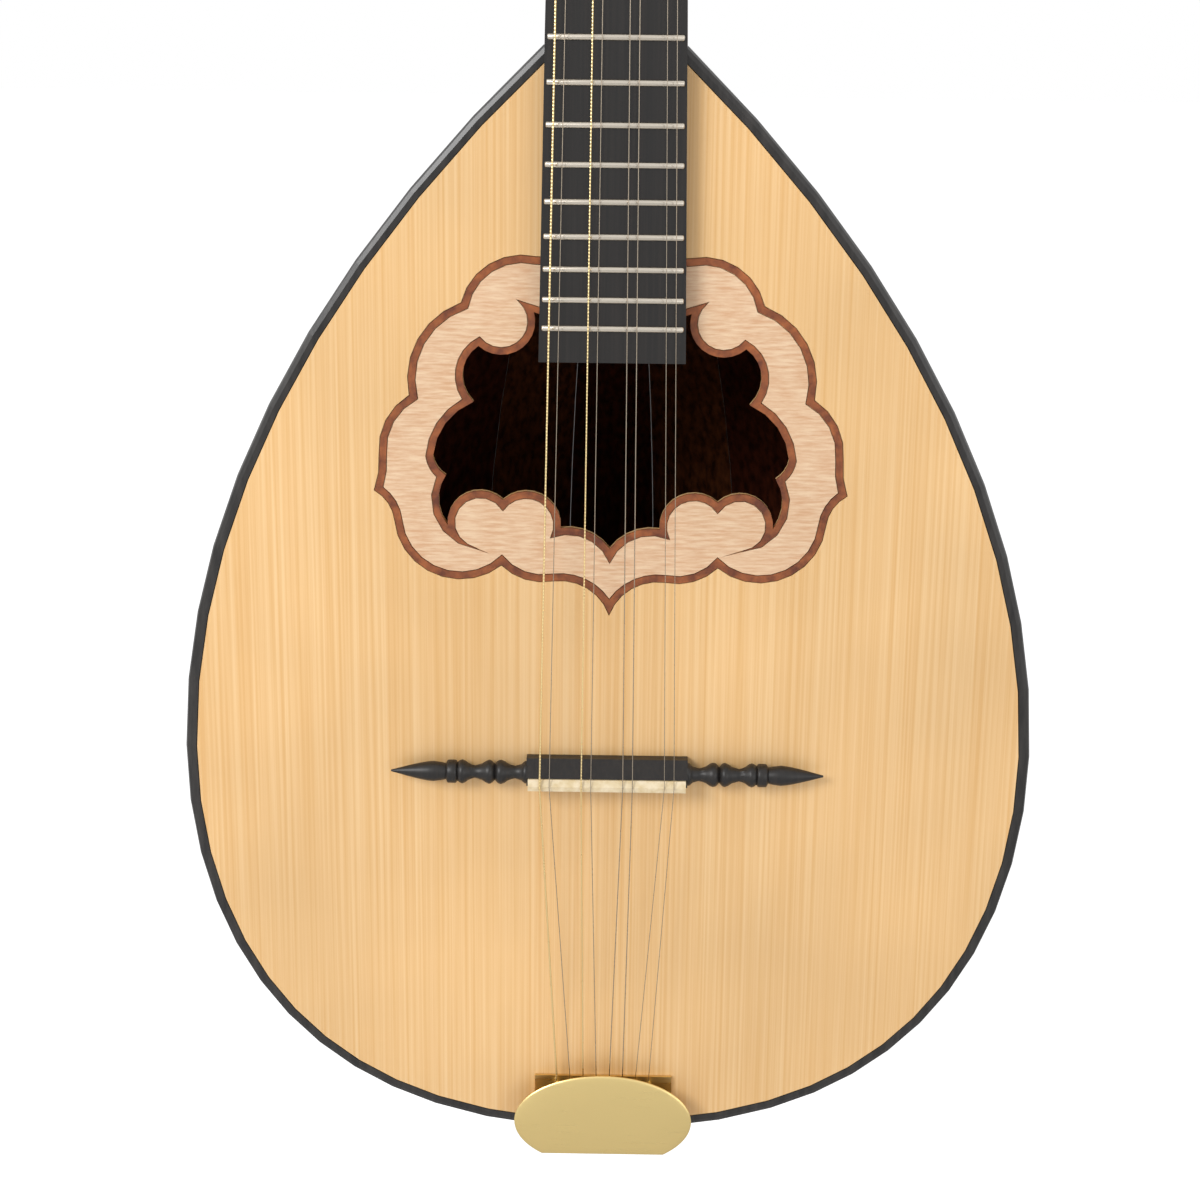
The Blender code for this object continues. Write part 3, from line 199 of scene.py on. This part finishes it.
SPRUCE = wood("spruce_lacquered_quarter_sawn", "#E9B878", "#F5CD96", (760, 300, 4), 0.38, 0.10)
LACEWOOD = wood("lacewood_veneer_figured", "#DDAE86", "#F2D2AE", (110, 300, 950), 0.4, 0.08)
BORDER = wood("padauk_border_scraped", "#6A341C", "#AE6232", (160, 160, 160), 0.42, 0.25)
BINDING = wood("ebonised_binding_polished", "#1C1A19", "#34312F", (300, 300, 60), 0.3, 0.15)
ROSEWOOD = wood("rosewood_staves_lacquered", "#2A120B", "#5C2C1A", (420, 420, 7), 0.3, 0.3)
ROSEWOOD_PALE = wood("rosewood_staves_sapwood_side", "#3A1D10", "#7A4526", (420, 420, 7), 0.3, 0.3)
LIME = wood("limewood_blocks_sawn", "#B98F5E", "#D9B27F", (300, 300, 12), 0.75)
MAHOGANY = wood("mahogany_neck_lacquered", "#4A2415", "#7A4027", (500, 500, 12), 0.35)
EBONY = wood("ebony_oiled", "#120F0E", "#221D1A", (900, 500, 14), 0.42, 0.2, 0.4, 0.75)
print("woods made: 9")


# %% [markdown]
# ## Metals and bone
#
# The tailpiece and machines are brass with a satin, lengthwise brushed finish; frets and plain strings
# are nickel steel; the wound strings are wrapped with bronze wire, whose turns are finer than a pixel, so
# they are drawn 1.2 mm apart. Bone is polished and shows faint fibres.

# %% Metal and bone finishes
def metal(name, colour, roughness, scale=(40, 900, 900), spread=0.12):
    made, tree, shader = surface(name, roughness, 1.0)
    shader.inputs["Base Color"].default_value = linear(colour)
    coord = add(tree, "ShaderNodeTexCoord")
    stretched = add(tree, "ShaderNodeMapping", inputs={"Vector": coord.outputs["Object"], "Scale": scale})
    brush = add(tree, "ShaderNodeTexNoise",
                inputs={"Vector": stretched.outputs[0], "Scale": 1.0, "Detail": 3.0})
    sheen = add(tree, "ShaderNodeMapRange",
                inputs={0: brush.outputs[0], 1: 0.3, 2: 0.7, 3: roughness - spread / 2, 4: roughness + spread / 2})
    tree.links.new(sheen.outputs[0], shader.inputs["Roughness"])
    bump = add(tree, "ShaderNodeBump",
               inputs={"Strength": 0.05, "Distance": 0.05 * MM, "Height": brush.outputs[0]})
    tree.links.new(bump.outputs[0], shader.inputs["Normal"])
    return made


BRASS = metal("brass_satin_brushed", "#E4CB8C", 0.32)
NICKEL = metal("nickel_silver_polished", "#CFC6B8", 0.22)
STEEL = metal("string_steel_drawn", "#A59887", 0.3)
BRONZE = metal("bronze_wound_wire", "#E6CD96", 0.32)
WINDING = 1.2 * MM
tree = BRONZE.node_tree
coord = add(tree, "ShaderNodeTexCoord")
turns = add(tree, "ShaderNodeTexWave", {"bands_direction": "Z"},
            {"Vector": coord.outputs["Object"], "Scale": math.tau / 20 / WINDING})
ridge = add(tree, "ShaderNodeBump",
            inputs={"Strength": 0.5, "Distance": 0.15 * MM, "Height": turns.outputs[1]})
tree.links.new(ridge.outputs[0], tree.nodes["Principled BSDF"].inputs["Normal"])
BONE = wood("bone_polished", "#E2CB9E", "#F4E3C2", (300, 300, 300), 0.35, 0.05)
print("metals made: 4, and bone")


# %% [markdown]
# ## Finishes for the solids
#
# Solids whose shape is right keep their mesh and only get a new material in their slots.

# %% Dress the solids
def dress(names, finish):
    for name in names:
        solid = bpy.data.objects[name]
        if not solid.material_slots:
            solid.data.materials.append(finish)
        for slot in solid.material_slots:
            slot.material = finish


STAVES = [f"stave_{k:02d}" for k in range(1, 14)]
dress(["soundboard", "rim_lining", "brace_upper", "brace_middle", "brace_lower"], SPRUCE)
dress(["rosette_inlay"], LACEWOOD)
dress(["rosette_outer_border", "rosette_inner_border"], BORDER)
dress(["edge_binding"], BINDING)
dress(STAVES[0::2] + ["tail_clasp"], ROSEWOOD)
dress(STAVES[1::2], ROSEWOOD_PALE)
dress(["tail_block", "neck_block"], LIME)
dress(["neck"], MAHOGANY)
dress(["fingerboard", "headstock_veneer", "bridge"], EBONY)
dress(["nut", "bridge_saddle"], BONE)
dress(["tailpiece_base", "tailpiece_cover", "tuner_plate_left", "tuner_plate_right"], BRASS)
dress([f"tuner_{k}_post" for k in range(1, 9)], BRASS)
dress([f"tuner_{k}_worm_shaft" for k in range(1, 9)] + ["tailpiece_hinge_pin"], NICKEL)
dress([f"string_{k}" for k in (1, 3)], BRONZE)
dress([f"string_{k}" for k in (2, 4, 5, 6, 7, 8)], STEEL)


# %% [markdown]
# ## Finishing a new piece
#
# Each new piece ends with its place in its mesh and its object at the origin, smooth where its faces
# meet at a low angle, and tied to the body that carries it.

# %% Piece helper
def settle(name, finish, body, angle=40):
    piece = bpy.context.object
    piece.name = name
    bpy.ops.object.transform_apply(location=True, rotation=True, scale=True)
    bpy.ops.object.shade_smooth_by_angle(angle=math.radians(angle))
    piece.data.materials.clear()
    piece.data.materials.append(finish)
    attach(piece, body)
    return piece


def apply_bevel(width, segments, limit):
    bevel = bpy.context.object.modifiers.new("edges", "BEVEL")
    bevel.width = width
    bevel.segments = segments
    bevel.limit_method = "ANGLE"
    bevel.angle_limit = math.radians(limit)
    bpy.ops.object.modifier_apply(modifier=bevel.name)


# %% [markdown]
# ## Frets
#
# A fret is nickel wire with a rounded bead, pressed into a slot and filed round at its ends. Each one is
# a cylinder flattened to the bead's oval, sunk half into the board, with its end edges bevelled. Their
# places follow the rule that twelve frets halve the string.

# %% Frets
OPEN_STRING = 670 * MM
LAST_FRET = OPEN_STRING * 0.75
BOARD_Y = -6.5 * MM
HALF_AT_NUT, HALF_AT_LAST_FRET = 17.4 * MM, 25.35 * MM
FRET_INSET = 0.8 * MM
for number in range(1, 25):
    fret_z = -OPEN_STRING * (1 - 2 ** (-number / 12))
    half = HALF_AT_NUT + (HALF_AT_LAST_FRET - HALF_AT_NUT) * -fret_z / LAST_FRET - FRET_INSET
    bpy.ops.object.select_all(action="DESELECT")
    bpy.ops.mesh.primitive_cylinder_add(vertices=24, radius=MM, depth=2 * half,
                                        location=(0, BOARD_Y, fret_z), rotation=(0, math.pi / 2, 0))
    bpy.context.object.scale = (1.2, 1.3, 1.0)
    bpy.ops.object.transform_apply(location=True, rotation=True, scale=True)
    apply_bevel(0.6 * MM, 2, 60)
    settle(f"fret_{number:02d}", NICKEL, "instrument", 50)
print("frets made:", number)

# %% [markdown]
# ## Turned bridge ends
#
# The wings of the bridge are turned on a lathe: beads, grooves and a long leaf. A disc is extruded
# outwards from the block and resized at each step of the profile.

# %% Bridge ends
BRIDGE_Y, BRIDGE_Z = -4.7 * MM, -667.0 * MM
# Each pair is a distance from the middle and the radius there, in millimetres
TURNING = [(29.3, 4.05), (29.9, 4.15), (30.6, 3.6), (31.3, 2.95), (33.5, 2.35), (34.8, 2.6), (36.2, 3.15),
           (37.4, 4.0), (38.6, 4.45), (39.5, 4.3), (40.1, 3.9), (40.9, 2.95), (41.8, 3.9), (42.4, 4.3),
           (43.1, 4.45), (44.3, 3.9), (45.6, 3.05), (48.1, 2.3), (49.4, 2.55), (50.6, 3.15), (51.8, 4.05),
           (52.8, 4.42), (53.8, 4.05), (54.6, 3.4), (55.0, 4.1), (55.5, 4.27), (57.9, 4.27), (58.3, 4.0),
           (58.8, 2.95), (60.6, 3.35), (63.4, 3.72), (65.5, 3.5), (67.5, 3.15), (70.5, 2.5), (73.5, 1.75),
           (76.5, 0.95), (78.9, 0.33)]
for name, side in (("bridge_wing_left", -1), ("bridge_wing_right", 1)):
    bpy.ops.object.select_all(action="DESELECT")
    first, radius = TURNING[0]
    bpy.ops.mesh.primitive_circle_add(vertices=36, radius=radius * MM, fill_type="NGON",
                                      location=(side * first * MM, BRIDGE_Y, BRIDGE_Z),
                                      rotation=(0, side * math.pi / 2, 0))
    bpy.ops.object.transform_apply(location=True, rotation=True, scale=True)
    bpy.ops.object.mode_set(mode="EDIT")
    bpy.ops.mesh.select_all(action="SELECT")
    for (near, small), (far, large) in zip(TURNING, TURNING[1:]):
        bpy.ops.mesh.extrude_region_move(TRANSFORM_OT_translate={"value": (side * (far - near) * MM, 0, 0)})
        bpy.ops.transform.resize(value=(1, large / small, large / small),
                                 center_override=(side * far * MM, BRIDGE_Y, BRIDGE_Z))
    bpy.ops.mesh.select_all(action="SELECT")
    bpy.ops.mesh.normals_make_consistent(inside=False)
    bpy.ops.object.mode_set(mode="OBJECT")
    wing = settle(name, EBONY, "floating_bridge", 50)
    print(name, "reaches x =", round(max(abs(v.co.x) for v in wing.data.vertices) / MM, 1), "mm")

# %% [markdown]
# ## Tailpiece lid
#
# The lid is pressed from thin brass: an oval with a straight lower edge, rolled over at its rim and
# gently domed. A disc is scaled to the oval, cut straight by bisecting, and drawn forward ring by ring,
# each ring a little smaller than the last.

# %% Lid
LID_Z, LID_Y, LID_CUT = -806.8 * MM, -8.4 * MM, -820.6 * MM
LID_HALF_WIDTH, LID_HALF_HEIGHT = 33.6, 19.0
LID_HALF_CUT_HEIGHT = 16.4
# How far each ring is drawn in and then forward, in millimetres
LID_RINGS = ((0.0, 0.5), (0.25, 0.2), (0.5, 0.15), (1.2, 0.2), (3.0, 0.25), (5.0, 0.2), (5.0, 0.1))
bpy.ops.object.select_all(action="DESELECT")
bpy.ops.mesh.primitive_circle_add(vertices=96, radius=1.0, fill_type="NGON", location=(0, LID_Y, LID_Z),
                                  rotation=(math.pi / 2, 0, 0))
lid = bpy.context.object
lid.scale = (LID_HALF_WIDTH * MM, LID_HALF_HEIGHT * MM, 1.0)
bpy.ops.object.transform_apply(location=True, rotation=True, scale=True)
bpy.ops.object.mode_set(mode="EDIT")
bpy.ops.mesh.select_all(action="SELECT")
bpy.ops.mesh.bisect(plane_co=(0, 0, LID_CUT), plane_no=(0, 0, -1), clear_outer=True)
bpy.ops.mesh.select_all(action="SELECT")
middle = (0, LID_Y, (LID_CUT + LID_Z + LID_HALF_HEIGHT * MM) / 2)
for width, rise in LID_RINGS:
    bpy.ops.mesh.extrude_region_move(TRANSFORM_OT_translate={"value": (0, -rise * MM, 0)})
    bpy.ops.transform.resize(value=(1 - width / LID_HALF_WIDTH, 1, 1 - width / LID_HALF_CUT_HEIGHT),
                             center_override=middle)
bpy.ops.mesh.select_all(action="SELECT")
bpy.ops.mesh.normals_make_consistent(inside=False)
bpy.ops.object.mode_set(mode="OBJECT")
settle("tailpiece_lid_plate", BRASS, "tailpiece_lid", 45)
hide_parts("tailpiece_cover")
print("lid front at y =", round(min(v.co.y for v in lid.data.vertices) / MM, 2), "mm")

# %% Lid hinge
HINGE_Y, HINGE_Z = -3.0 * MM, -818.2 * MM
KNUCKLE_RADIUS, KNUCKLE_LENGTH = 1.7 * MM, 23.4 * MM
WEB_Y, WEB_Z, WEB_DEPTH, WEB_THICKNESS = -5.4 * MM, -819.9 * MM, 4.9 * MM, 1.2 * MM
bpy.ops.object.select_all(action="DESELECT")
bpy.ops.mesh.primitive_cylinder_add(vertices=32, radius=KNUCKLE_RADIUS, depth=KNUCKLE_LENGTH,
                                    location=(0, HINGE_Y, HINGE_Z), rotation=(0, math.pi / 2, 0))
apply_bevel(0.15 * MM, 2, 60)
settle("tailpiece_lid_knuckle", BRASS, "tailpiece_lid")
bpy.ops.object.select_all(action="DESELECT")
bpy.ops.mesh.primitive_cube_add(size=1.0, location=(0, WEB_Y, WEB_Z))
bpy.context.object.scale = (KNUCKLE_LENGTH, WEB_DEPTH, WEB_THICKNESS)
bpy.ops.object.transform_apply(location=True, rotation=True, scale=True)
apply_bevel(0.2 * MM, 2, 60)
settle("tailpiece_lid_web", BRASS, "tailpiece_lid")
print("lid hinge made")

# %% [markdown]
# ## Headstock fittings
#
# The machines' buttons are flattened oval knobs; each post leaves the veneer through a rolled bushing, and
# small screws with a recess hold the plates and gears. The headstock leans back, so its own frame is
# turned once and every fitting is placed in it.

# %% Headstock frame
TILT = math.radians(11)
HEAD = Matrix.Translation((0, 0, 5 * MM)) @ Matrix.Rotation(-TILT, 4, "X")
MACHINES = [(k, -1 if k <= 4 else 1, (42 + 32 * ((k - 1) % 4)) * MM) for k in range(1, 9)]
MACHINE_X, BUTTON_X = 21 * MM, 56 * MM
WORM_Y, WORM_RISE = 18 * MM, 6 * MM
BUSHING_Y = -2.6 * MM


def seat(piece, x, y, z, turn):
    piece.matrix_world = HEAD @ Matrix.Translation((x, y, z)) @ turn


# %% Buttons and bushings
for number, side, height in MACHINES:
    bpy.ops.object.select_all(action="DESELECT")
    bpy.ops.mesh.primitive_uv_sphere_add(segments=32, ring_count=16, radius=1.0)
    knob = bpy.context.object
    knob.scale = (9.15 * MM, 4.65 * MM, 7.15 * MM)
    bpy.ops.object.transform_apply(location=False, rotation=False, scale=True)
    seat(knob, side * BUTTON_X, WORM_Y, height + WORM_RISE, Matrix.Identity(4))
    settle(f"tuner_{number}_button", BONE, f"worm_{number}")
    bpy.ops.object.select_all(action="DESELECT")
    bpy.ops.mesh.primitive_torus_add(major_segments=32, minor_segments=10, major_radius=4.5 * MM,
                                     minor_radius=0.9 * MM)
    ring = bpy.context.object
    ring.scale = (1, 1, 0.7)
    bpy.ops.object.transform_apply(location=False, rotation=False, scale=True)
    seat(ring, side * MACHINE_X, BUSHING_Y, height, Matrix.Rotation(math.pi / 2, 4, "X"))
    settle(f"tuner_{number}_bushing", NICKEL, "instrument")
print("buttons and bushings:", len(MACHINES))


# %% Screws
def screw_head(name, radius, where, body):
    bpy.ops.object.select_all(action="DESELECT")
    bpy.ops.mesh.primitive_cylinder_add(vertices=20, radius=radius, depth=radius * 0.8)
    head = bpy.context.object
    apply_bevel(radius * 0.3, 3, 60)
    bpy.ops.object.mode_set(mode="EDIT")
    mesh = bmesh.from_edit_mesh(head.data)
    top = max(mesh.faces, key=lambda face: face.calc_center_median().z + (face.normal.z > 0.99))
    for face in mesh.faces:
        face.select_set(False)
    top.select_set(True)
    mesh.select_flush_mode()
    bmesh.update_edit_mesh(head.data)
    bpy.ops.mesh.inset(thickness=radius * 0.25)
    bpy.ops.mesh.extrude_region_move(TRANSFORM_OT_translate={"value": (0, 0, -radius * 0.3)})
    bpy.ops.object.mode_set(mode="OBJECT")
    head.matrix_world = where
    settle(name, NICKEL, body)


BACK = Matrix.Rotation(-math.pi / 2, 4, "X")
GEAR_SCREW_Y, PLATE_SCREW_Y, TAIL_SCREW_Z = 20.7 * MM, 15.9 * MM, -817.4 * MM
PLATE_SCREW_HEIGHTS = (33, 58, 90, 122, 147)
TAIL_SCREW_PLACES = ((-9, 10), (9, 10), (0, 24))
for number, side, height in MACHINES:
    place = HEAD @ Matrix.Translation((side * MACHINE_X, GEAR_SCREW_Y, height)) @ BACK
    screw_head(f"tuner_{number}_gear_screw", 2.2 * MM, place, f"post_{number}")
for side, word in ((-1, "left"), (1, "right")):
    for count, height in enumerate(PLATE_SCREW_HEIGHTS):
        place = HEAD @ Matrix.Translation((side * MACHINE_X, PLATE_SCREW_Y, height * MM)) @ BACK
        screw_head(f"plate_screw_{word}_{count + 1}", 1.8 * MM, place, "instrument")
for count, (x, y) in enumerate(TAIL_SCREW_PLACES):
    place = Matrix.Translation((x * MM, y * MM, TAIL_SCREW_Z)) @ Matrix.Rotation(math.pi, 4, "X")
    screw_head(f"tail_screw_{count + 1}", 2.4 * MM, place, "instrument")
print("screws made")
